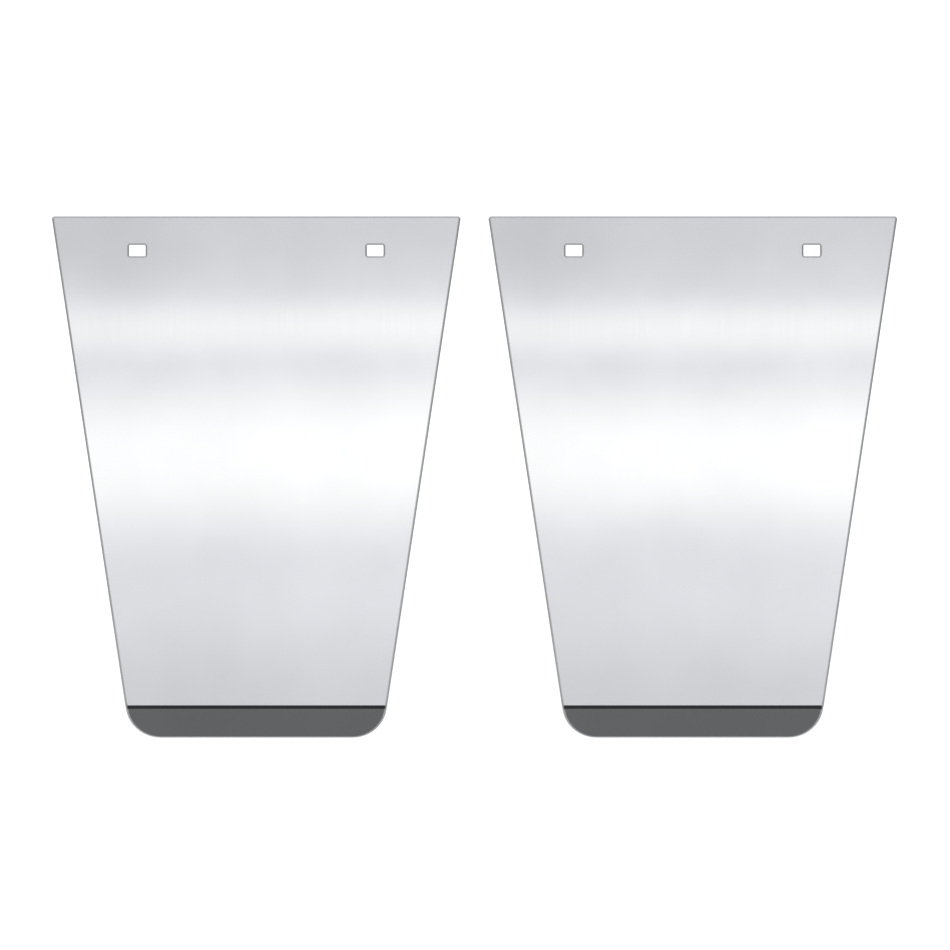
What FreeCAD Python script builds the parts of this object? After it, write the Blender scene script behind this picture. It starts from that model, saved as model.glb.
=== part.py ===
"""A pair of bent and polished stainless-steel mud flaps, as a parametric FreeCAD document.

Millimetres. +X runs across the pair, +Y from the polished faces to the hangers behind the flaps,
and +Z up. The origin is midway between the two flaps, level with the bolt slots, in the plane of
the flat back faces that rest on the hangers.

Each flap is one sheet: a plate that narrows downwards, folded along its foot into a short kick
that leans to the rear. The cuts are drawn for the right half and mirrored.
"""
import FreeCAD, Part
import math
import os
import Sketcher
from FreeCAD import Vector

# The driving dimensions: alias in the sheet, value, and what it measures.
DIMENSIONS = [
    ("top_width", 355.6, "plate width at the top edge, its corners taken as sharp"),
    ("fold_width", 227.0, "plate width at the fold"),
    ("plate_height", 426.1, "top edge to the outer corner of the fold"),
    ("sheet_thickness", 1.98, "14 gauge stainless sheet"),
    ("kick_length", 28.25, "outer corner of the fold to the lower edge, along the kick"),
    ("kick_angle", 15.0, "lean of the kick to the rear, in degrees"),
    ("fold_radius", 11.0, "inside radius of the fold"),
    ("kick_corner_radius", 30.0, "rounding of the two lower corners"),
    ("top_corner_radius", 2.5, "rounding of the two upper corners"),
    ("slot_length", 14.3, "bolt slot, end to end across the flap"),
    ("slot_height", 9.5, "bolt slot, top to bottom"),
    ("slot_corner_radius", 1.2, "rounding of the slot corners"),
    ("slot_spacing", 206.5, "between the centres of one flap's two slots"),
    ("slot_drop", 29.8, "top edge down to the slot centres"),
    ("front_edge_radius", 1.5, "buffed edge of the polished face"),
    ("back_edge_radius", 0.3, "deburred edge of the back face"),
    ("flap_spacing", 379.0, "between the centre lines of the two flaps"),
]

# Places used by more than one sketch, as expressions on the sheet.
FOLD_Z = "(dims.slot_drop - dims.plate_height)"
INNER_FOLD_Z = f"({FOLD_Z} + dims.sheet_thickness * tan(dims.kick_angle / 2))"
SIDE_SLOPE = "((dims.top_width - dims.fold_width) / 2 / dims.plate_height)"
KICK_SLOPE = f"({SIDE_SLOPE} * cos(dims.kick_angle))"

SAME_PLACE = 1e-4


def make_sheet(doc):
    """The spreadsheet that drives every sketch and feature."""
    sheet = doc.addObject("Spreadsheet::Sheet", "dims")
    for row, (alias, value, meaning) in enumerate(DIMENSIONS, start=1):
        sheet.set(f"A{row}", meaning)
        sheet.set(f"B{row}", str(value))
        sheet.setAlias(f"B{row}", alias)
    doc.recompute()
    return sheet


def origin_plane(body, role):
    """One of the body's own origin planes."""
    return next(item for item in body.Origin.OriginFeatures if item.Role == role)


def new_sketch(body, name, plane_role):
    """An empty sketch on an origin plane of the body."""
    sketch = body.newObject("Sketcher::SketchObject", name)
    sketch.AttachmentSupport = [(origin_plane(body, plane_role), "")]
    sketch.MapMode = "FlatFace"
    return sketch


def arc_between(start, end, radius):
    """The short arc that turns anticlockwise from one point to another."""
    chord = end - start
    to_centre = math.sqrt(radius**2 - (chord.Length / 2) ** 2)
    left = Vector(-chord.y, chord.x, 0).normalize()
    centre = (start + end) / 2 + left * to_centre
    angles = [math.atan2(point.y - centre.y, point.x - centre.x) for point in (start, end)]
    return Part.ArcOfCircle(Part.Circle(centre, Vector(0, 0, 1), radius), *angles)


def bind(sketch, label, expression, kind, *where):
    """Add one dimension to a sketch and bind it to the sheet."""
    value = float(sketch.evalExpression(expression))
    index = sketch.addConstraint(Sketcher.Constraint(kind, *where, value))
    sketch.renameConstraint(index, label)
    sketch.setExpression(f"Constraints.{label}", expression)


def add_outline(sketch, name, corners, closing_radius=None):
    """A closed outline whose corners are pairs of expressions.

    Its sides are straight, except that a closing radius makes the last side an arc.
    """
    places = [[float(sketch.evalExpression(text)) for text in corner] for corner in corners]
    points = [Vector(across, up, 0) for across, up in places]
    sides = [Part.LineSegment(start, end) for start, end in zip(points, points[1:] + points[:1])]
    if closing_radius:
        radius = float(sketch.evalExpression(closing_radius))
        sides[-1] = arc_between(points[-1], points[0], radius)
    ids = [sketch.addGeometry(side, False) for side in sides]
    for side, after in zip(ids, ids[1:] + ids[:1]):
        sketch.addConstraint(Sketcher.Constraint("Coincident", side, 2, after, 1))
    for number, (side, (across, up)) in enumerate(zip(ids, corners), start=1):
        bind(sketch, f"{name}_{number}_across", across, "DistanceX", -1, 1, side, 1)
        bind(sketch, f"{name}_{number}_up", up, "DistanceY", -1, 1, side, 1)
    if closing_radius:
        bind(sketch, f"{name}_radius", closing_radius, "Radius", ids[-1])


def add_folded_sheet(body):
    """The side view of the sheet, sharp at the fold, drawn out wider than the plate along X."""
    profile = new_sketch(body, "side_profile", "YZ_Plane")
    foot_y = "dims.kick_length * sin(dims.kick_angle) - dims.sheet_thickness"
    foot_z = f"{FOLD_Z} - dims.kick_length * cos(dims.kick_angle)"
    corners = [
        ("0", "dims.slot_drop"),
        ("-dims.sheet_thickness", "dims.slot_drop"),
        ("-dims.sheet_thickness", FOLD_Z),
        (foot_y, foot_z),
        (
            f"{foot_y} + dims.sheet_thickness * cos(dims.kick_angle)",
            f"{foot_z} + dims.sheet_thickness * sin(dims.kick_angle)",
        ),
        ("0", INNER_FOLD_Z),
    ]
    add_outline(profile, "corner", corners)
    pad = body.newObject("PartDesign::Pad", "folded_sheet")
    pad.Profile = profile
    pad.SideType = "Symmetric"
    pad.setExpression("Length", "dims.top_width + dims.kick_length")
    return pad


def add_cut(body, name, profile):
    """A pocket through the whole sheet, both ways from its sketch."""
    pocket = body.newObject("PartDesign::Pocket", name)
    pocket.Profile = profile
    pocket.SideType = "Symmetric"
    pocket.Type = "ThroughAll"
    return pocket


def add_side_cut(body):
    """The waste beside the tapered plate, from above its top edge to below the kick."""
    sketch = new_sketch(body, "side_waste", "XZ_Plane")
    above = "dims.slot_drop + dims.kick_length"
    below = f"{FOLD_Z} - dims.kick_length"
    corners = [
        (f"dims.top_width / 2 + {SIDE_SLOPE} * dims.kick_length", above),
        (f"dims.fold_width / 2 - {SIDE_SLOPE} * dims.kick_length", below),
        ("dims.top_width", below),
        ("dims.top_width", above),
    ]
    add_outline(sketch, "corner", corners)
    return add_cut(body, "side_cut", sketch)


def add_slot_cut(body):
    """A bolt slot, sharp-cornered, centred on the level of the origin."""
    sketch = new_sketch(body, "bolt_slot", "XZ_Plane")
    inner = "(dims.slot_spacing - dims.slot_length) / 2"
    outer = "(dims.slot_spacing + dims.slot_length) / 2"
    low = "-dims.slot_height / 2"
    high = "dims.slot_height / 2"
    add_outline(sketch, "corner", [(inner, low), (outer, low), (outer, high), (inner, high)])
    return add_cut(body, "slot_cut", sketch)


def add_kick_corner_cut(body):
    """The waste outside the kick's rounded corner, drawn on the kick's front face.

    The sketch has its origin at the outer corner of the fold and runs up the kick. Its arc is
    tangent to the side and to the lower edge. The cut runs along the line where those two meet.
    """
    sketch = new_sketch(body, "kick_corner_waste", "XZ_Plane")
    sketch.AttachmentOffset = FreeCAD.Placement(Vector(), FreeCAD.Rotation(Vector(1, 0, 0), 1))
    sketch.setExpression("AttachmentOffset.Base.y", FOLD_Z)
    sketch.setExpression("AttachmentOffset.Base.z", "dims.sheet_thickness")
    sketch.setExpression("AttachmentOffset.Rotation.Angle", "dims.kick_angle")
    radius = "dims.kick_corner_radius"
    centre_up = f"({radius} - dims.kick_length)"
    lean = f"atan({KICK_SLOPE})"
    centre_across = f"(dims.fold_width / 2 + {KICK_SLOPE} * {centre_up} - {radius} / cos({lean}))"
    side_end = f"{centre_up} - {radius} * sin({lean})"
    below = "-2 * dims.kick_length"
    corners = [
        (f"{centre_across} + {radius} * cos({lean})", side_end),
        ("dims.top_width", side_end),
        ("dims.top_width", below),
        (centre_across, below),
        (centre_across, "-dims.kick_length"),
    ]
    add_outline(sketch, "corner", corners, closing_radius=radius)
    pocket = add_cut(body, "kick_corner_cut", sketch)
    pocket.UseCustomVector = True
    pocket.setExpression("Direction.x", f"{SIDE_SLOPE} * sin(dims.kick_angle)")
    pocket.setExpression("Direction.y", "cos(dims.kick_angle)")
    pocket.setExpression("Direction.z", "sin(dims.kick_angle)")
    return pocket


def add_mirror(body, cuts):
    """The same cuts on the other side of the flap's centre line."""
    mirror = body.newObject("PartDesign::Mirrored", "mirrored_cuts")
    mirror.Originals = cuts
    mirror.MirrorPlane = (origin_plane(body, "YZ_Plane"), [""])
    body.Tip = mirror
    return mirror


def edge_names(feature, wanted):
    """The names of a feature's edges that pass a test."""
    numbered = enumerate(feature.Shape.Edges, start=1)
    return [f"Edge{number}" for number, edge in numbered if wanted(edge)]


def add_fillet(body, name, names, radius):
    """A fillet on named edges of the body's last feature, its radius bound to the sheet."""
    base = body.Tip
    fillet = body.newObject("PartDesign::Fillet", name)
    fillet.Base = (base, names)
    fillet.setExpression("Radius", radius)
    body.Document.recompute()


def runs_along(edge, direction):
    """Whether an edge is straight and parallel to a direction."""
    straight = isinstance(edge.Curve, Part.Line)
    return straight and abs(edge.Curve.Direction.dot(direction)) > 1 - SAME_PLACE


def round_fold(body, sheet):
    """Round the fold on both faces of the sheet, about one axis."""
    folds = [
        ("fold_outside", -sheet.sheet_thickness, FOLD_Z, "dims.fold_radius + dims.sheet_thickness"),
        ("fold_inside", 0, INNER_FOLD_Z, "dims.fold_radius"),
    ]
    for name, y, z_expression, radius in folds:
        place = Vector(0, y, float(body.Tip.evalExpression(z_expression)))
        names = edge_names(body.Tip, lambda edge: edge.CenterOfMass.isEqual(place, SAME_PLACE))
        add_fillet(body, name, names, radius)


def round_corners(body, sheet):
    """Round the plate's upper corners and the corners of the slots."""
    through = Vector(0, 1, 0)
    at_top = edge_names(
        body.Tip,
        lambda edge: runs_along(edge, through) and edge.CenterOfMass.z > sheet.slot_height,
    )
    add_fillet(body, "top_corners", at_top, "dims.top_corner_radius")
    at_slots = edge_names(
        body.Tip,
        lambda edge: runs_along(edge, through) and abs(edge.CenterOfMass.z) < sheet.slot_height,
    )
    add_fillet(body, "slot_corners", at_slots, "dims.slot_corner_radius")


def broad_face_outline(feature, facing, fold_radius):
    """The edges round one broad face of the sheet and its slots, not those across the fold.

    That face is the plate, the kick and the cylinder of the fold between them. Facing is -1 for
    the polished face and 1 for the back.
    """
    broad = []
    for face in feature.Shape.Faces:
        surface = face.Surface
        if isinstance(surface, Part.Plane) and face.normalAt(0, 0).y * facing > 0.5:
            broad.append(face)
        if isinstance(surface, Part.Cylinder) and abs(surface.Radius - fold_radius) < SAME_PLACE:
            broad.append(face)
    codes = [edge.hashCode() for face in broad for edge in face.Edges]
    return edge_names(feature, lambda edge: codes.count(edge.hashCode()) == 1)


def round_edges(body, sheet):
    """Buff the edges of the polished face, then deburr those of the back."""
    front = broad_face_outline(body.Tip, -1, sheet.fold_radius + sheet.sheet_thickness)
    add_fillet(body, "front_edges", front, "dims.front_edge_radius")
    back = broad_face_outline(body.Tip, 1, sheet.fold_radius)
    add_fillet(body, "back_edges", back, "dims.back_edge_radius")


def make_flap(doc, name, offset):
    """One flap, with its centre line at an offset from the middle of the pair."""
    body = doc.addObject("PartDesign::Body", name)
    body.Label = name
    body.setExpression("Placement.Base.x", offset)
    add_folded_sheet(body)
    cuts = [add_side_cut(body), add_slot_cut(body), add_kick_corner_cut(body)]
    add_mirror(body, cuts)
    doc.recompute()
    check_cuts(cuts)
    round_fold(body, doc.dims)
    round_corners(body, doc.dims)
    round_edges(body, doc.dims)
    return body


def check_cuts(cuts):
    """Stop unless each cut took material away."""
    for cut in cuts:
        if cut.Shape.Volume >= cut.BaseFeature.Shape.Volume:
            raise RuntimeError(f"{cut.Name} removes nothing")


def check_model(doc, flaps):
    """Stop if any object failed, or a flap isn't one valid solid."""
    for item in doc.Objects:
        if "Invalid" in item.State or "Error" in item.State:
            raise RuntimeError(f"{item.Name} failed: {item.State}")
    for flap in flaps:
        shape = flap.Shape
        if shape.isNull() or not shape.isValid() or len(shape.Solids) != 1:
            raise RuntimeError(f"{flap.Label} isn't one valid solid")


def write_steps(flaps):
    """One STEP file for each flap, named after its label."""
    os.makedirs("parts", exist_ok=True)
    for flap in flaps:
        flap.Shape.exportStep(f"parts/{flap.Label}.step")
        box = flap.Shape.BoundBox
        print(
            f"{flap.Label}: {flap.Shape.Volume / 1000:.1f} cm3,"
            f" {box.XLength:.1f} x {box.YLength:.1f} x {box.ZLength:.1f} mm"
        )


def main():
    doc = FreeCAD.newDocument("mud_flaps")
    make_sheet(doc)
    flaps = [
        make_flap(doc, "left_flap", "-dims.flap_spacing / 2"),
        make_flap(doc, "right_flap", "dims.flap_spacing / 2"),
    ]
    check_model(doc, flaps)
    write_steps(flaps)


main()
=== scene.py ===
"""The looks of a pair of bent and polished stainless-steel mud flaps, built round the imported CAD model.

Metres, in the row's frame: +X across the pair, +Y from the polished faces to the hangers, +Z up.

Each flap is drawn flat as an outline with two bolt slots, filled with a fine mesh, given its
thickness and buffed edges, and then bent along its foot. A point of the flat sheet has three
coordinates: across from the flap's centre line, down from the top edge along the polished face,
and deep into the sheet from that face.
"""

import math

import bpy
import numpy as np
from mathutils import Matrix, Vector
from mathutils.geometry import delaunay_2d_cdt


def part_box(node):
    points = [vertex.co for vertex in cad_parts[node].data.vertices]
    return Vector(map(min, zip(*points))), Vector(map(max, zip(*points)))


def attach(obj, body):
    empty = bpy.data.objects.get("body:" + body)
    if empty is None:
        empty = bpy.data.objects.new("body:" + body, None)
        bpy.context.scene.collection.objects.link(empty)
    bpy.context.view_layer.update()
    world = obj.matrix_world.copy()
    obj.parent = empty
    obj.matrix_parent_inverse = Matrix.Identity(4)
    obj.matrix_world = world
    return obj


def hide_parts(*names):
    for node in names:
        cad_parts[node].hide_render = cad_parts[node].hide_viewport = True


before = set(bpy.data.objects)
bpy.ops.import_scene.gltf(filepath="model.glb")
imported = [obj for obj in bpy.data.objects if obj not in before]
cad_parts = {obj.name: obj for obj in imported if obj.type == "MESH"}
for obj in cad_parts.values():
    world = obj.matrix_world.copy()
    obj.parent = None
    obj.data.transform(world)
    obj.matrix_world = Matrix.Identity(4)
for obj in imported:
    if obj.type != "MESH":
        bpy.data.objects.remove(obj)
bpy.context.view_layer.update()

FLAPS = ["left_flap", "right_flap"]

# The sheet, as in the CAD model.
TOP_WIDTH = 0.3556
FOLD_WIDTH = 0.2270
PLATE_HEIGHT = 0.4261
THICKNESS = 0.00198
KICK_LENGTH = 0.02825
KICK_ANGLE = math.radians(15)
INSIDE_RADIUS = 0.011
KICK_CORNER_RADIUS = 0.030
TOP_CORNER_RADIUS = 0.0025
SLOT_LENGTH = 0.0143
SLOT_HEIGHT = 0.0095
SLOT_CORNER_RADIUS = 0.0012
SLOT_SPACING = 0.2065
SLOT_DROP = 0.0298
FRONT_EDGE = 0.0015
BACK_EDGE = 0.0003

# The half-dull strip between the rounded front edge and the mirror polish.
WIDE_STRIP = 0.0006
NARROW_STRIP = 0.0001

# What follows from the sheet's sizes.
OUTSIDE_RADIUS = INSIDE_RADIUS + THICKNESS
FOLD_REACH = OUTSIDE_RADIUS * math.tan(KICK_ANGLE / 2)
FOLD_START = PLATE_HEIGHT - FOLD_REACH
FOLD_END = PLATE_HEIGHT + FOLD_REACH
SIDE_SLOPE = (TOP_WIDTH - FOLD_WIDTH) / 2 / PLATE_HEIGHT
KICK_SLOPE = SIDE_SLOPE * math.cos(KICK_ANGLE)

# How fine the mesh is.
GRID = 0.005
EDGE_STEP = 0.0025
CLEAR_OF_EDGE = 0.7 * EDGE_STEP
CLEAR_OF_ROW = 0.2 * EDGE_STEP
SAME_POINT = 1e-7
SLIVER = 1e-10
CORNER_TURN = math.radians(7.5)
FEWEST_CORNER_STEPS = 4
FOLD_ROWS = 12
FRONT_RINGS = 6
BACK_RINGS = 3

# The waviness of the sheet: each wave's height, its turn per metre across and down, and its phase.
WAVES = [
    (0.000030, 14.0, 5.0, 0.3),
    (0.000022, -9.0, 17.0, 1.9),
    (0.000010, 31.0, -12.0, 4.1),
]
PHASE_BETWEEN_FLAPS = 2.4


# ---------------------------------------------------------------- the flat sheet

def turned(vector, angle):
    """A flat vector turned by an angle."""
    cos, sin = math.cos(angle), math.sin(angle)
    return Vector((vector.x * cos - vector.y * sin, vector.x * sin + vector.y * cos))


def fold_rows():
    """How far down each row of the fold's mesh lies."""
    return [FOLD_START + (FOLD_END - FOLD_START) * i / FOLD_ROWS for i in range(FOLD_ROWS + 1)]


def straight_steps(start, end):
    """Points along a straight side, close together and with one at each row of the fold."""
    length = (end - start).length
    count = max(1, round(length / EDGE_STEP))
    shares = [i / count for i in range(1, count)]
    drop = end.y - start.y
    if abs(drop) > EDGE_STEP:
        room = CLEAR_OF_ROW / length
        at_rows = [(row - start.y) / drop for row in fold_rows()]
        at_rows = [share for share in at_rows if room < share < 1 - room]
        shares = [s for s in shares if all(abs(s - row) > room for row in at_rows)] + at_rows
    return [start.lerp(end, share) for share in sorted(shares)]


def rounded_loop(corners):
    """The points and inward normals of a polygon with rounded corners.

    Corners are (across, down, radius). The sheet lies to the left of the way round.
    """
    places = [Vector(corner[:2]) for corner in corners]
    starts, ends = [], []
    for i, (_, _, radius) in enumerate(corners):
        way_in = (places[i] - places[i - 1]).normalized()
        way_out = (places[(i + 1) % len(places)] - places[i]).normalized()
        turn = math.atan2(way_in.x * way_out.y - way_in.y * way_out.x, way_in.dot(way_out))
        reach = radius * abs(math.tan(turn / 2))
        starts.append((places[i] - way_in * reach, turned(way_in, math.pi / 2), turn, radius))
        ends.append(places[i] + way_out * reach)
    points, normals = [], []
    for i, (start, normal, turn, radius) in enumerate(starts):
        if radius:
            side = math.copysign(1, turn)
            centre = start + normal * side * radius
            steps = max(FEWEST_CORNER_STEPS, round(abs(turn) / CORNER_TURN))
            for step in range(steps + 1):
                here = turned(normal, turn * step / steps)
                points.append(centre - here * side * radius)
                normals.append(here)
        else:
            points.append(start)
            normals.append(turned(normal, turn / 2))
        next_start, next_normal, _, _ = starts[(i + 1) % len(starts)]
        for point in straight_steps(ends[i], next_start):
            points.append(point)
            normals.append(next_normal)
    return points, normals


def sheet_loops():
    """The outline of the sheet and of its two slots."""
    top = TOP_WIDTH / 2
    fold = FOLD_WIDTH / 2
    foot = fold - KICK_SLOPE * KICK_LENGTH
    length = PLATE_HEIGHT + KICK_LENGTH
    outline = [
        (-top, 0, TOP_CORNER_RADIUS),
        (top, 0, TOP_CORNER_RADIUS),
        (fold, PLATE_HEIGHT, 0),
        (foot, length, KICK_CORNER_RADIUS),
        (-foot, length, KICK_CORNER_RADIUS),
        (-fold, PLATE_HEIGHT, 0),
    ]
    loops = [rounded_loop(outline)]
    for side in (-1, 1):
        across = side * SLOT_SPACING / 2
        left, right = across - SLOT_LENGTH / 2, across + SLOT_LENGTH / 2
        high, low = SLOT_DROP - SLOT_HEIGHT / 2, SLOT_DROP + SLOT_HEIGHT / 2
        slot = [(left, high), (left, low), (right, low), (right, high)]
        loops.append(rounded_loop([(x, y, SLOT_CORNER_RADIUS) for x, y in slot]))
    return loops


def polished_loops(loops):
    """The limits of the mirror polish, inside the strip that the buffing of the edges left duller.

    The strip is wide along the sides of the flap, and narrow along level edges and round the slots.
    """
    limits = []
    for number, (points, normals) in enumerate(loops):
        limit = []
        for point, normal in zip(points, normals):
            sideways = abs(normal.x) if number == 0 else 0
            strip = NARROW_STRIP + (WIDE_STRIP - NARROW_STRIP) * sideways
            limit.append(point + normal * (FRONT_EDGE + strip))
        limits.append(limit)
    return limits


def inside(points, loop):
    """Which points lie within a loop."""
    within = np.zeros(len(points), bool)
    for a, b in zip(loop, loop[1:] + loop[:1]):
        crosses = (points[:, 1] < a.y) != (points[:, 1] < b.y)
        if a.y != b.y:
            across = a.x + (points[:, 1] - a.y) * (b.x - a.x) / (b.y - a.y)
            within ^= crosses & (points[:, 0] < across)
    return within


def on_sheet(points, loops):
    """Which points lie within the outline and outside the slots."""
    keep = inside(points, loops[0])
    for loop in loops[1:]:
        keep &= ~inside(points, loop)
    return keep


def grid_points(loops):
    """A grid over the sheet that keeps clear of the loops."""
    columns = np.arange(-TOP_WIDTH / 2, TOP_WIDTH / 2, GRID) + GRID / 2
    rows = list(np.arange(GRID, FOLD_START - GRID / 2, GRID)) + fold_rows()
    rows += list(np.arange(FOLD_END + GRID / 2, PLATE_HEIGHT + KICK_LENGTH, GRID / 2))
    points = np.array([(column, row) for row in rows for column in columns])
    keep = on_sheet(points, loops)
    for loop in loops:
        for point in loop:
            keep &= np.hypot(points[:, 0] - point.x, points[:, 1] - point.y) > CLEAR_OF_EDGE
    return [Vector(point) for point in points[keep]]


def fill(loops):
    """The grid, and triangles over the sheet. They count the loops' points first and then the grid's."""
    edges, points = [], []
    for loop in loops:
        first = len(points)
        points += loop
        edges += [(first + i, first + (i + 1) % len(loop)) for i in range(len(loop))]
    grid = grid_points(loops)
    made, _, triangles, origins, _, _ = delaunay_2d_cdt(points + grid, edges, [], 0, SAME_POINT)
    if len(made) != len(points) + len(grid):
        raise RuntimeError("the sheet's outline crosses itself")
    corners = np.array([[made[i] for i in triangle] for triangle in triangles])
    sides = corners[:, 1:] - corners[:, :1]
    areas = abs(sides[:, 0, 0] * sides[:, 1, 1] - sides[:, 0, 1] * sides[:, 1, 0]) / 2
    in_sheet = on_sheet(corners.mean(axis=1), loops) & (areas > SLIVER)
    source = [origin[0] for origin in origins]
    kept = [triangle for triangle, keep in zip(triangles, in_sheet) if keep]
    return grid, [[source[corner] for corner in triangle] for triangle in kept]


# ---------------------------------------------------------------- the bent sheet

# The places of a flap's finishes among its materials.
POLISHED, BUFFED_EDGE_WITH_PAINTED_SHADE, MILL_FINISH, BUFFED_STRIP = range(4)


def waviness(across, down, seed):
    """The slight waviness of polished sheet: its height and its slopes across and down."""
    height = slope_across = slope_down = 0.0
    for amplitude, wave_across, wave_down, phase in WAVES:
        angle = wave_across * across + wave_down * down + phase + seed
        height += amplitude * math.sin(angle)
        slope_across += amplitude * wave_across * math.cos(angle)
        slope_down += amplitude * wave_down * math.cos(angle)
    return height, slope_across, slope_down


def bent(across, down, deep, seed):
    """A point of the flat sheet in its place, with the ways across, down and out of the front."""
    turn = KICK_ANGLE * min(max((down - FOLD_START) / (FOLD_END - FOLD_START), 0), 1)
    cos, sin = math.cos(turn), math.sin(turn)
    radius = OUTSIDE_RADIUS - deep
    y = OUTSIDE_RADIUS - THICKNESS - radius * cos
    z = -FOLD_START - radius * sin
    if down < FOLD_START:
        z = -down
    if down > FOLD_END:
        y += (down - FOLD_END) * sin
        z -= (down - FOLD_END) * cos
    out = Vector((0, -cos, -sin))
    height, slope_across, slope_down = waviness(across, down, seed)
    way_across = (Vector((1, 0, 0)) + out * slope_across).normalized()
    way_down = (Vector((0, sin, -cos)) + out * slope_down).normalized()
    place = Vector((across, y, z)) + out * height
    return place, way_across, way_down, way_down.cross(way_across)


class Shell:
    """The points, normals and faces of one closed sheet."""

    def __init__(self, seed):
        self.seed = seed
        self.points, self.normals, self.faces, self.finishes = [], [], [], []

    def add(self, flat, deep, facing, inward=(0, 0), inset=0):
        """One point. Facing is its angle from the polished face's normal to the back's."""
        inward = Vector(inward)
        place = flat + inward * inset
        point, across, down, out = bent(place.x, place.y, deep, self.seed)
        edge = across * -inward.x + down * -inward.y
        self.points.append(point)
        self.normals.append((out * math.cos(facing) + edge * math.sin(facing)).normalized())


def edge_profile():
    """The rings round an edge, from the polished face to the back: inset, depth and facing."""
    rings = []
    for i in range(FRONT_RINGS + 1):
        facing = math.pi / 2 * i / FRONT_RINGS
        inset = FRONT_EDGE * (1 - math.sin(facing))
        deep = FRONT_EDGE * (1 - math.cos(facing))
        rings.append((inset, deep, facing))
    for i in range(BACK_RINGS + 1):
        facing = math.pi / 2 * (1 + i / BACK_RINGS)
        inset = BACK_EDGE * (1 - math.sin(facing))
        deep = THICKNESS - BACK_EDGE * (1 + math.cos(facing))
        rings.append((inset, deep, facing))
    return rings


def add_rings(shell, loops, polished):
    """Rings of points from the mirror polish round the edge to the back, and where each starts."""
    starts = [0]
    for limit in polished:
        for point in limit:
            shell.add(point, 0, 0)
    for inset, deep, facing in edge_profile():
        starts.append(len(shell.points))
        for points, normals in loops:
            for point, normal in zip(points, normals):
                shell.add(point, deep, facing, normal, inset)
    return starts


def flap_shell(seed):
    """The closed sheet of one flap, with the middle of its back's top edge at the origin."""
    loops = sheet_loops()
    polished = polished_loops(loops)
    grid, triangles = fill(polished)
    shell = Shell(seed)
    starts = add_rings(shell, loops, polished)
    around = sum(len(points) for points, _ in loops)
    front_grid = len(shell.points)
    for point in grid:
        shell.add(point, 0, 0)
    back_grid = len(shell.points)
    for point in grid:
        shell.add(point, THICKNESS, math.pi)

    def corner(number, ring, grid_start):
        """The shell's number of a triangle's corner, which is on the ring or in the grid."""
        return number + ring if number < around else number - around + grid_start

    for triangle in triangles:
        a, b, c = (corner(number, starts[0], front_grid) for number in triangle)
        shell.faces.append((a, c, b))
        a, b, c = (corner(number, starts[-1], back_grid) for number in triangle)
        shell.faces.append((a, b, c))
        shell.finishes += [POLISHED, MILL_FINISH]
    for ring, after in zip(starts, starts[1:]):
        # The rings round the edge take the buffed finish, whose darker tone is painted shade.
        finish = BUFFED_STRIP if ring == 0 else BUFFED_EDGE_WITH_PAINTED_SHADE
        first = 0
        for points, _ in loops:
            for i in range(len(points)):
                a, b = first + i, first + (i + 1) % len(points)
                shell.faces.append((ring + a, ring + b, after + b, after + a))
                shell.finishes.append(finish)
            first += len(points)
    return shell


def build_flap(node, seed):
    """The object that stands for one CAD flap."""
    low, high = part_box(node)
    top_middle = Vector(((low.x + high.x) / 2, 0, high.z))
    shell = flap_shell(seed)
    mesh = bpy.data.meshes.new(f"{node}_sheet")
    mesh.from_pydata([point + top_middle for point in shell.points], [], shell.faces)
    for polygon, finish in zip(mesh.polygons, shell.finishes):
        polygon.material_index = finish
        polygon.use_smooth = True
    mesh.normals_split_custom_set_from_vertices(shell.normals)
    piece = bpy.data.objects.new(f"{node}_sheet", mesh)
    bpy.context.collection.objects.link(piece)
    return piece


# ---------------------------------------------------------------- nodes

def new_material(name):
    """A material with an empty node tree, that tree, and its output node."""
    material = bpy.data.materials.new(name)
    material.use_nodes = True
    material.node_tree.nodes.clear()
    output = material.node_tree.nodes.new("ShaderNodeOutputMaterial")
    return material, material.node_tree, output


def add_node(tree, kind, links=(), **settings):
    """A node with its settings and its inputs: values are set and sockets are linked."""
    node = tree.nodes.new(kind)
    for name, value in settings.items():
        setattr(node, name, value)
    for name, value in dict(links).items():
        if isinstance(value, bpy.types.NodeSocket):
            tree.links.new(value, node.inputs[name])
        else:
            node.inputs[name].default_value = value
    return node


def math_node(tree, operation, *values):
    """The result of one sum on values or sockets."""
    return add_node(tree, "ShaderNodeMath", dict(enumerate(values)), operation=operation).outputs["Value"]


def between(tree, value, start, end, first, last):
    """A value that goes smoothly from first to last as another goes from start to end."""
    return add_node(
        tree,
        "ShaderNodeMapRange",
        {"Value": value, "From Min": start, "From Max": end, "To Min": first, "To Max": last},
        interpolation_type="SMOOTHSTEP",
    ).outputs["Result"]


def ramp(tree, factor, first, last):
    """A colour that goes from one (place, colour) to another with a factor."""
    node = add_node(tree, "ShaderNodeValToRGB", {"Fac": factor})
    for element, (place, colour) in zip(node.color_ramp.elements, (first, last)):
        element.position = place
        element.color = (*colour, 1)
    return node.outputs["Color"]


def noise(tree, place, scale, detail, stretch=(1.0, 1.0, 1.0)):
    """Soft noise from 0 to 1, finer along the axes that are stretched more."""
    mapped = add_node(tree, "ShaderNodeMapping", {"Vector": place, "Scale": stretch})
    links = {"Vector": mapped.outputs["Vector"], "Scale": scale, "Detail": detail}
    return add_node(tree, "ShaderNodeTexNoise", links).outputs["Fac"]


# ---------------------------------------------------------------- steel

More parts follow.
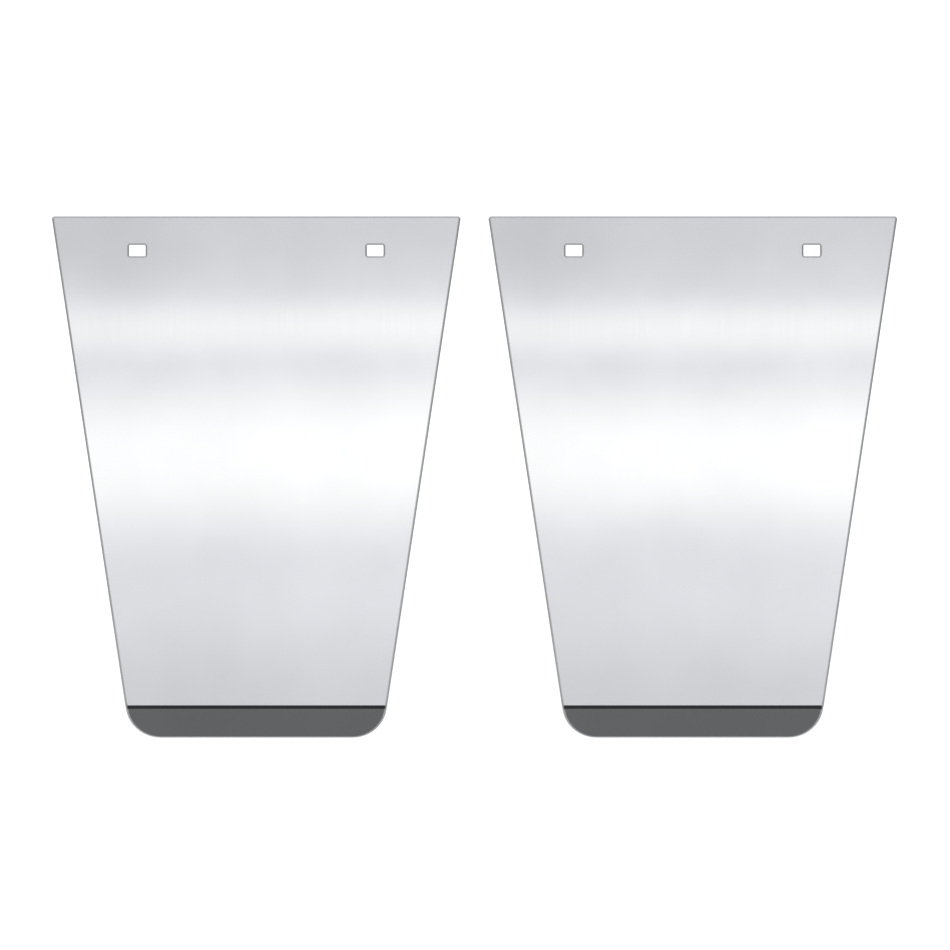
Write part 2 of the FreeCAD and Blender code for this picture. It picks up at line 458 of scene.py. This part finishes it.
# Each finish's tone and roughness with how far they vary, the grain's scale along X, Y and Z, its
# depth, and its share of the tone's variation. The rest of that variation is smudges.
FINISHES = {
    POLISHED: {
        "name": "polished_steel",
        "tone": 0.80,
        "contrast": 0.024,
        "roughness": 0.055,
        "spread": 0.02,
        "grain": (900.0, 900.0, 12.0),
        "depth": 0.000002,
        "grain_share": 0.0,
    },
    # The buffed edge is rougher, as a buffed finish is. Its tone is set well below the polish's as
    # painted shade, which draws the dark line round the flaps' edges.
    BUFFED_EDGE_WITH_PAINTED_SHADE: {
        "name": "buffed_edge_steel",
        "tone": 0.53,
        "contrast": 0.02,
        "roughness": 0.34,
        "spread": 0.06,
        "grain": (600.0, 600.0, 600.0),
        "depth": 0.00002,
        "grain_share": 0.3,
    },
    MILL_FINISH: {
        "name": "mill_finish_steel",
        "tone": 0.66,
        "contrast": 0.07,
        "roughness": 0.27,
        "spread": 0.07,
        "grain": (420.0, 420.0, 5.0),
        "depth": 0.00004,
        "grain_share": 0.55,
    },
    BUFFED_STRIP: {
        "name": "buffed_strip_steel",
        "tone": 0.64,
        "contrast": 0.02,
        "roughness": 0.28,
        "spread": 0.06,
        "grain": (600.0, 600.0, 600.0),
        "depth": 0.00001,
        "grain_share": 0.3,
    },
}
STEEL_BLUE = 0.006
SMUDGE_SCALE = 11.0
SMUDGE_DETAIL = 4.0
GRAIN_DETAIL = 3.0
NOISE_LOW = 0.3
NOISE_HIGH = 0.7
BUMP_STRENGTH = 0.3


def bluish(tone):
    """The colour of steel of this tone."""
    return (tone * (1 - STEEL_BLUE), tone, tone * (1 + STEEL_BLUE))


def steel_material(finish):
    """Stainless steel with fine grain lines, faint smudges and an uneven gloss."""
    material, tree, output = new_material(finish["name"])
    place = add_node(tree, "ShaderNodeTexCoord").outputs["Object"]
    grain = noise(tree, place, 1.0, GRAIN_DETAIL, finish["grain"])
    smudges = noise(tree, place, SMUDGE_SCALE, SMUDGE_DETAIL)
    variation = math_node(
        tree,
        "ADD",
        math_node(tree, "MULTIPLY", smudges, 1 - finish["grain_share"]),
        math_node(tree, "MULTIPLY", grain, finish["grain_share"]),
    )
    dark = bluish(finish["tone"] - finish["contrast"])
    light = bluish(finish["tone"] + finish["contrast"])
    colour = ramp(tree, variation, (NOISE_LOW, dark), (NOISE_HIGH, light))
    uneven = math_node(tree, "ADD", grain, smudges)
    roughness = add_node(
        tree,
        "ShaderNodeMapRange",
        {
            "Value": uneven,
            "From Min": 2 * NOISE_LOW,
            "From Max": 2 * NOISE_HIGH,
            "To Min": finish["roughness"] - finish["spread"],
            "To Max": finish["roughness"] + finish["spread"],
        },
    ).outputs["Result"]
    bump = add_node(
        tree,
        "ShaderNodeBump",
        {"Strength": BUMP_STRENGTH, "Distance": finish["depth"], "Height": grain},
    ).outputs["Normal"]
    shader = add_node(
        tree,
        "ShaderNodeBsdfPrincipled",
        {"Base Color": colour, "Metallic": 1.0, "Roughness": roughness, "Normal": bump},
    )
    tree.links.new(shader.outputs["BSDF"], output.inputs["Surface"])
    return material


# ---------------------------------------------------------------- camera

CAMERA_DISTANCE = 4.5
CAMERA_X = 0.0004
CAMERA_Z = -0.1949
LENS = 196.4


def make_camera():
    """The camera, square on to the polished faces."""
    camera_data = bpy.data.cameras.new("camera")
    camera_data.lens = LENS
    camera = bpy.data.objects.new("camera", camera_data)
    camera.location = (CAMERA_X, -CAMERA_DISTANCE, CAMERA_Z)
    camera.rotation_euler = (math.pi / 2, 0, 0)
    bpy.context.collection.objects.link(camera)
    bpy.context.scene.camera = camera


# ---------------------------------------------------------------- the studio that the steel reflects

FLAP_MIDDLES = [sum(corner.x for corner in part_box(node)) / 2 for node in FLAPS]
FOLD_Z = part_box(FLAPS[0])[1].z - PLATE_HEIGHT

# The light of the studio, which turns white where the wall's lights are brightest.
DAYLIGHT = (0.988, 1.0, 1.04)
WHITE = (1.0, 1.0, 1.0)
WHITE_FROM = 0.98
WHITE_TO = 1.16

# The wall in front. What the camera sees of it in a plate is WALL_SCALE times as large as the plate.
# It covers the reflections of heights from SEEN_FROM to SEEN_TO on a plate. SIDE_TONES are its shares
# at the left and right of a flap, and END_FADE is where it dims further out to END_TONE.
WALL_DISTANCE = 2.5
WALL_SCALE = 1 + WALL_DISTANCE / CAMERA_DISTANCE
WALL_HALF_WIDTH = 1.1
SEEN_FROM, SEEN_TO = -0.43, 0.06
HALF_FLAP_SEEN = TOP_WIDTH / 2 * WALL_SCALE
WALL_LIGHT = 0.78
SIDE_TONES = (0.985, 1.030)
END_FADE = (1.2 * HALF_FLAP_SEEN, 2.2 * HALF_FLAP_SEEN)
END_TONE = 0.5

# Its dim corner for each flap: how far left, in halves of the flap's width, its reach and its tone.
DIM_ACROSS = 0.75
DIM_CORNER = 0.20
DIM_TONE = 0.925

# Its soft lights: the height on a plate at which the camera sees the light's middle, half its
# fully lit height there, the softness of its edges, and its brightness.
WALL_LIGHTS = [
    (-0.185, 0.110, 0.095, 0.14),
    (-0.067, 0.002, 0.032, 0.25),
    (-0.178, 0.010, 0.083, 0.335),
]

# The dark flags near the foot of each flap: their brightness, and their places from the fold's corner.
# FOLD_FLAG_SOLID is the share of its far edge's distance within which the fold's flag is solid.
BLACK = 0.035
KICK_SHADE = 0.155
SHADE_BLEND = 0.0005
FOLD_FLAG_HALF = 0.116
FOLD_FLAG_NEAR = 0.0045
FOLD_FLAG_FAR = 0.032
FOLD_FLAG_NEAR_DROP = 0.0034
FOLD_FLAG_FAR_DROP = 0.0001
FOLD_FLAG_SOLID = 0.8
KICK_FLAG_DROP = 0.0299
KICK_FLAG_FRONT = 0.060
KICK_FLAG_INSET = 0.0002

# Where the camera sees the kick's flag from the fold's corner, and how far out on the flag it looks
# for each step down the kick.
KICK_SEES_FROM = -THICKNESS - KICK_FLAG_DROP / math.tan(2 * KICK_ANGLE)
KICK_STRETCH = math.sin(KICK_ANGLE) + math.cos(KICK_ANGLE) / math.tan(2 * KICK_ANGLE)

# The floor that reflections see: brighter from NEAR to RING, and then fading until FADED.
FLOOR_Z = -0.75
FLOOR_HALF = 20.0
FLOOR_CORNERS = [
    (x * FLOOR_HALF, y * FLOOR_HALF, FLOOR_Z) for x, y in ((-1, -1), (1, -1), (1, 1), (-1, 1))
]
FLOOR_NEAR, FLOOR_RING, FLOOR_FADED = 0.2, 1.7, 4.0
FLOOR_NEAR_LIGHT, FLOOR_RING_LIGHT, FLOOR_FADED_SHARE = 0.74, 0.88, 0.50

# The dome: its light at the level of the flaps, overhead and behind, and its share at each side.
DOME_RADIUS = 8.0
DOME_LONGITUDES = 64
DOME_LATITUDES = 32
DOME_LEVEL_LIGHT, DOME_TOP_LIGHT, DOME_BEHIND_LIGHT = 0.45, 1.1, 0.85
DOME_LEFT_SHARE, DOME_RIGHT_SHARE = 0.95, 0.72


def card_material(name, light, cover=None, colour=None):
    """A glowing card.

    Light is its brightness, or makes it from the card's own coordinates, as cover makes its
    opacity. Colour makes its colour from its brightness, and otherwise it is daylight.
    """
    material, tree, output = new_material(name)
    place = add_node(tree, "ShaderNodeTexCoord").outputs["Object"]
    axes = add_node(tree, "ShaderNodeSeparateXYZ", {"Vector": place}).outputs
    brightness = light(tree, axes) if callable(light) else light
    shown = colour(tree, brightness) if colour else (*DAYLIGHT, 1)
    glow = add_node(tree, "ShaderNodeEmission", {"Color": shown, "Strength": brightness})
    surface = glow.outputs["Emission"]
    if cover:
        clear = add_node(tree, "ShaderNodeBsdfTransparent").outputs["BSDF"]
        surface = add_node(
            tree, "ShaderNodeMixShader", {0: cover(tree, axes), 1: clear, 2: surface}
        ).outputs["Shader"]
    tree.links.new(surface, output.inputs["Surface"])
    return material


def studio_card(name, points, faces, material):
    """Part of the studio that only reflections see."""
    mesh = bpy.data.meshes.new(name)
    mesh.from_pydata(points, [], faces)
    mesh.materials.append(material)
    card = bpy.data.objects.new(name, mesh)
    bpy.context.collection.objects.link(card)
    card.visible_camera = False
    card.visible_diffuse = False
    card.visible_shadow = False
    return card


def mirrored(height):
    """How high on the wall the camera sees the reflection from this height on a plate."""
    return CAMERA_Z + (height - CAMERA_Z) * WALL_SCALE


def wall_light(tree, axes):
    """The wall's own light and its soft lights, dimmer at the upper left of each flap."""
    total = WALL_LIGHT
    for middle, half_height, softness, brightness in WALL_LIGHTS:
        offset = math_node(tree, "SUBTRACT", axes["Z"], mirrored(middle))
        away = math_node(tree, "ABSOLUTE", offset)
        inner, outer = half_height * WALL_SCALE, (half_height + softness) * WALL_SCALE
        total = math_node(tree, "ADD", total, between(tree, away, inner, outer, brightness, 0.0))
    side = between(tree, axes["X"], -HALF_FLAP_SEEN, HALF_FLAP_SEEN, *SIDE_TONES)
    from_corner = math_node(
        tree,
        "ADD",
        math_node(tree, "ABSOLUTE", math_node(tree, "ADD", axes["X"], DIM_ACROSS * HALF_FLAP_SEEN)),
        math_node(tree, "ABSOLUTE", math_node(tree, "SUBTRACT", axes["Z"], mirrored(0.0))),
    )
    corner = between(tree, from_corner, 0.0, DIM_CORNER, DIM_TONE, 1.0)
    out_from_flap = math_node(tree, "ABSOLUTE", axes["X"])
    end = between(tree, out_from_flap, *END_FADE, 1.0, END_TONE)
    for share in (side, corner, end):
        total = math_node(tree, "MULTIPLY", total, share)
    return total


def wall_colour(tree, brightness):
    """A little blue, and white where the lights are brightest."""
    whiteness = between(tree, brightness, WHITE_FROM, WHITE_TO, 0.0, 1.0)
    return ramp(tree, whiteness, (0.0, DAYLIGHT), (1.0, WHITE))


def make_wall():
    """Two halves of a wall in front, one for each flap, that meet between the flaps."""
    material = card_material("wall_light", wall_light, colour=wall_colour)
    low, high = mirrored(SEEN_FROM), mirrored(SEEN_TO)
    for middle in FLAP_MIDDLES:
        centre = middle * WALL_SCALE
        inner, outer = -centre, math.copysign(WALL_HALF_WIDTH, centre) - centre
        corners = [(inner, 0, low), (outer, 0, low), (outer, 0, high), (inner, 0, high)]
        half = studio_card("wall", corners, [(0, 1, 2, 3)], material)
        half.location = (centre, -WALL_DISTANCE, 0)


def fold_flag_cover(tree, axes):
    """The flag thins out towards its far edge."""
    return between(tree, axes["Y"], -FOLD_FLAG_FAR, -FOLD_FLAG_SOLID * FOLD_FLAG_FAR, 0.0, 1.0)


def kick_flag_light(tree, axes):
    """Dim where the flat of the kick looks, and almost black further out, where the fold looks."""
    start, end = KICK_SEES_FROM - SHADE_BLEND, KICK_SEES_FROM + SHADE_BLEND
    return between(tree, axes["Y"], start, end, BLACK, KICK_SHADE)


def fold_flag_corners():
    """A narrow flag that rises away from the fold."""
    far = (-FOLD_FLAG_FAR, -FOLD_FLAG_FAR_DROP)
    near = (-FOLD_FLAG_NEAR, -FOLD_FLAG_NEAR_DROP)
    left, right = -FOLD_FLAG_HALF, FOLD_FLAG_HALF
    return [(left, *far), (left, *near), (right, *near), (right, *far)]


def kick_flag_corners(middle):
    """The outline of the kick's flat front, laid level where the camera sees it reflected.

    The further a reflected ray goes to the flag, the further it has spread from the camera's axis.
    """
    points, normals = sheet_loops()[0]
    kick = [p + n * KICK_FLAG_INSET for p, n in zip(points, normals) if p.y > PLATE_HEIGHT]
    shape = []
    for point in kick:
        down = point.y - PLATE_HEIGHT
        ray = (KICK_FLAG_DROP - down * math.cos(KICK_ANGLE)) / math.sin(2 * KICK_ANGLE)
        spread = 1 + ray / CAMERA_DISTANCE
        shape.append(((middle + point.x) * spread - middle, KICK_SEES_FROM + down * KICK_STRETCH))
    right, left = shape[0][0], shape[-1][0]
    shape = [(left, -KICK_FLAG_FRONT), (right, -KICK_FLAG_FRONT)] + shape
    return [(x, y, -KICK_FLAG_DROP) for x, y in shape]


def make_flags():
    """Small dark cards close to the foot of each flap, which darken the fold and the kick."""
    fold_shade = card_material("fold_flag_shade", BLACK, fold_flag_cover)
    kick_shade = card_material("kick_flag_shade", kick_flag_light)
    for middle in FLAP_MIDDLES:
        flags = [
            ("fold_flag", fold_flag_corners(), fold_shade),
            ("kick_flag", kick_flag_corners(middle), kick_shade),
        ]
        for name, corners, material in flags:
            flag = studio_card(name, corners, [tuple(range(len(corners)))], material)
            flag.location = (middle, 0, FOLD_Z)


def floor_light(tree, axes):
    """What the steel sees of the floor: grey, with a soft ring of light round the flaps."""
    squares = [math_node(tree, "MULTIPLY", axes[axis], axes[axis]) for axis in "XY"]
    distance = math_node(tree, "SQRT", math_node(tree, "ADD", *squares))
    ring = between(tree, distance, FLOOR_NEAR, FLOOR_RING, FLOOR_NEAR_LIGHT, FLOOR_RING_LIGHT)
    beyond = between(tree, distance, FLOOR_RING, FLOOR_FADED, 1.0, FLOOR_FADED_SHARE)
    return math_node(tree, "MULTIPLY", ring, beyond)


def make_floor_light():
    """The floor as reflections see it, in place of the white one that the camera sees."""
    material = card_material("floor_light", floor_light)
    studio_card("floor_reflection", FLOOR_CORNERS, [(0, 1, 2, 3)], material)


def dome_light(tree, axes):
    """Dim at the level of the flaps in front and at the sides, and brighter overhead and behind."""
    low, high, far_back = 0.1 * DOME_RADIUS, 0.8 * DOME_RADIUS, 0.9 * DOME_RADIUS
    rise = between(tree, axes["Z"], low, high, DOME_LEVEL_LIGHT, DOME_TOP_LIGHT)
    left = between(tree, axes["X"], -DOME_RADIUS, 0.0, DOME_LEFT_SHARE, 1.0)
    right = between(tree, axes["X"], 0.0, DOME_RADIUS, 1.0, DOME_RIGHT_SHARE)
    front = math_node(tree, "MULTIPLY", rise, math_node(tree, "MULTIPLY", left, right))
    behind = between(tree, axes["Y"], low, far_back, 0.0, 1.0)
    to_behind = math_node(tree, "SUBTRACT", DOME_BEHIND_LIGHT, front)
    return math_node(tree, "MULTIPLY_ADD", behind, to_behind, front)


def make_dome():
    """The walls and ceiling of the studio."""
    points, faces = [], []
    for j in range(DOME_LATITUDES + 1):
        lift = math.pi * (j / DOME_LATITUDES - 0.5)
        ring, z = DOME_RADIUS * math.cos(lift), DOME_RADIUS * math.sin(lift)
        for i in range(DOME_LONGITUDES):
            turn = 2 * math.pi * i / DOME_LONGITUDES
            points.append((ring * math.cos(turn), ring * math.sin(turn), z))
    for j in range(DOME_LATITUDES):
        for i in range(DOME_LONGITUDES):
            a = j * DOME_LONGITUDES + i
            b = j * DOME_LONGITUDES + (i + 1) % DOME_LONGITUDES
            faces.append((a, b, b + DOME_LONGITUDES, a + DOME_LONGITUDES))
    studio_card("studio_dome", points, faces, card_material("dome_light", dome_light))


# ---------------------------------------------------------------- floor, world and lamp

FLOOR_WHITE = (0.9, 0.9, 0.9, 1)
FLOOR_ROUGHNESS = 0.7
WORLD_STRENGTH = 1.2
LAMP_SIZE = (2.5, 2.0)
LAMP_PLACE = (0.0, -0.4, 2.4)
LAMP_WATTS = 60.0


def make_floor():
    """The white floor that the camera sees."""
    mesh = bpy.data.meshes.new("floor")
    mesh.from_pydata(FLOOR_CORNERS, [], [(0, 1, 2, 3)])
    floor = bpy.data.objects.new("floor", mesh)
    material, tree, output = new_material("pale_floor")
    shader = add_node(
        tree,
        "ShaderNodeBsdfPrincipled",
        {"Base Color": FLOOR_WHITE, "Roughness": FLOOR_ROUGHNESS, "Specular IOR Level": 0.0},
    )
    tree.links.new(shader.outputs["BSDF"], output.inputs["Surface"])
    mesh.materials.append(material)
    floor.visible_glossy = False
    bpy.context.collection.objects.link(floor)


def make_world():
    """A plain white world."""
    world = bpy.data.worlds.new("studio")
    world.use_nodes = True
    background = world.node_tree.nodes["Background"]
    background.inputs["Color"].default_value = (*WHITE, 1)
    background.inputs["Strength"].default_value = WORLD_STRENGTH
    bpy.context.scene.world = world


def make_lamp():
    """A large lamp overhead, which the steel doesn't reflect."""
    lamp_data = bpy.data.lights.new("softbox", "AREA")
    lamp_data.shape = "RECTANGLE"
    lamp_data.size, lamp_data.size_y = LAMP_SIZE
    lamp_data.energy = LAMP_WATTS
    lamp = bpy.data.objects.new("softbox", lamp_data)
    lamp.location = LAMP_PLACE
    lamp.visible_glossy = False
    bpy.context.collection.objects.link(lamp)


# ---------------------------------------------------------------- everything

make_camera()

steels = [steel_material(FINISHES[place]) for place in sorted(FINISHES)]
for number, node in enumerate(FLAPS):
    piece = build_flap(node, PHASE_BETWEEN_FLAPS * number)
    for steel in steels:
        piece.data.materials.append(steel)
    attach(piece, "root")
    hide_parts(node)

make_wall()
make_flags()
make_floor_light()
make_dome()
make_floor()
make_world()
make_lamp()

bpy.context.scene.view_settings.view_transform = "Standard"
